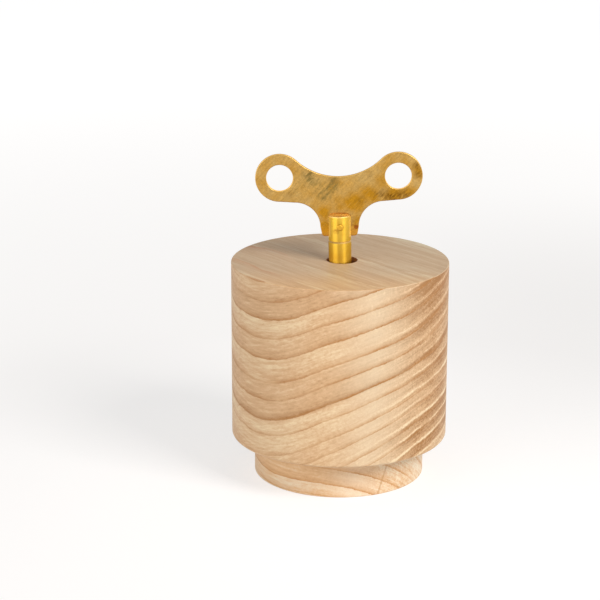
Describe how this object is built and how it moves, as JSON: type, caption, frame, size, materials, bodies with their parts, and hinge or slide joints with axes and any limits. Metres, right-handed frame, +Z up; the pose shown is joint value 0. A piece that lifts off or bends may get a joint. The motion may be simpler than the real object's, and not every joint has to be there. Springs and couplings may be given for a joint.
{
  "type": "wooden music box",
  "caption": "Turned wooden drum on a smaller round foot, with a brass wing key standing in its top that winds a spring driven pinned cylinder and comb inside.",
  "frame": {"origin": "centre of the foot's underside, on the surface that the box stands on", "axes": "+Z up along the drum's and the winding arbor's axis, +X to the right and -Y towards the viewer, with the key's flat plate nearly in the XZ plane"},
  "size_m": [0.09, 0.09, 0.1368],
  "materials": {
    "drum_wood": "waxed, open grain",
    "foot_wood": "waxed, open grain",
    "board_wood": "plain plywood",
    "felt": "pressed felt",
    "key_brass": "brushed, worn",
    "barrel_brass": "turned, worn",
    "rivet_brass": "peened",
    "movement_brass": "machined",
    "plate_metal": "plated",
    "pressed_steel": "pressed, plated",
    "arbor_steel": "turned",
    "spring_steel": "blued",
    "comb_steel": "ground",
    "weight_lead": "dull",
    "screw_steel": "plated",
    "fly_metal": "rolled"
  },
  "bodies": {
    "case": {"body_shell": "drum_wood", "bottom_board": "board_wood", "foot": "foot_wood", "foot_screws": "screw_steel", "base_felt": "felt", "bedplate": "plate_metal", "wood_screws": "screw_steel", "spring_housing": "pressed_steel", "spring_cover": "pressed_steel", "housing_screws": "screw_steel", "mainspring": "spring_steel", "cylinder_bracket": "pressed_steel", "bracket_screws": "screw_steel", "comb": "comb_steel", "bass_weights": "weight_lead", "comb_rest": "plate_metal", "comb_screws": "screw_steel", "governor_frame": "pressed_steel", "frame_screws": "screw_steel", "governor_cock": "pressed_steel", "cock_screw": "screw_steel"},
    "winding": {"key_wing": "key_brass", "key_barrel": "barrel_brass", "key_rivet": "rivet_brass", "winding_arbor": "arbor_steel", "drive_wheel": "movement_brass", "ratchet_wheel": "arbor_steel", "click_pin": "arbor_steel", "click_spring": "spring_steel"},
    "click": {"click": "arbor_steel"},
    "cylinder": {"cylinder_arbor": "arbor_steel", "drive_pinion": "movement_brass", "melody_drum": "movement_brass", "drum_caps": "movement_brass", "great_wheel": "movement_brass"},
    "governor": {"governor_arbor": "arbor_steel", "governor_pinion": "movement_brass", "governor_wheel": "movement_brass"},
    "fly": {"worm": "arbor_steel", "fly": "fly_metal"}
  },
  "joints": [
    {"name": "key_turn", "type": "hinge", "parent": "case", "child": "winding", "pos_m": [0, 0, 0.0829], "axis": [0, 0, 1], "range_deg": [-1890, 0], "stiffness_Nm_per_rad": 0.0012, "deforming": ["mainspring"]},
    {"name": "cylinder_turn", "type": "hinge", "parent": "case", "child": "cylinder", "pos_m": [0.0232, 0, 0.07283], "axis": [1, 0, 0], "range_deg": [0, 5670]},
    {"name": "governor_turn", "type": "hinge", "parent": "case", "child": "governor", "pos_m": [0.0354, -0.00727, 0.06863], "axis": [1, 0, 0], "range_deg": [-28350, 0]},
    {"name": "fly_turn", "type": "hinge", "parent": "case", "child": "fly", "pos_m": [0.0354, -0.00082, 0.06863], "axis": [0, 0, 1], "range_deg": [0, 850500]},
    {"name": "click_lift", "type": "hinge", "parent": "winding", "child": "click", "pos_m": [0.0045, 0.00779, 0.0793], "axis": [0, 0, 1], "range_deg": [0, 12], "stiffness_Nm_per_rad": 0.0005, "deforming": ["click_spring"]}
  ],
  "couplings": [
    {"joint": "cylinder_turn", "follows": "key_turn", "ratio": -3},
    {"joint": "governor_turn", "follows": "key_turn", "ratio": 15},
    {"joint": "fly_turn", "follows": "key_turn", "ratio": -450}
  ]
}
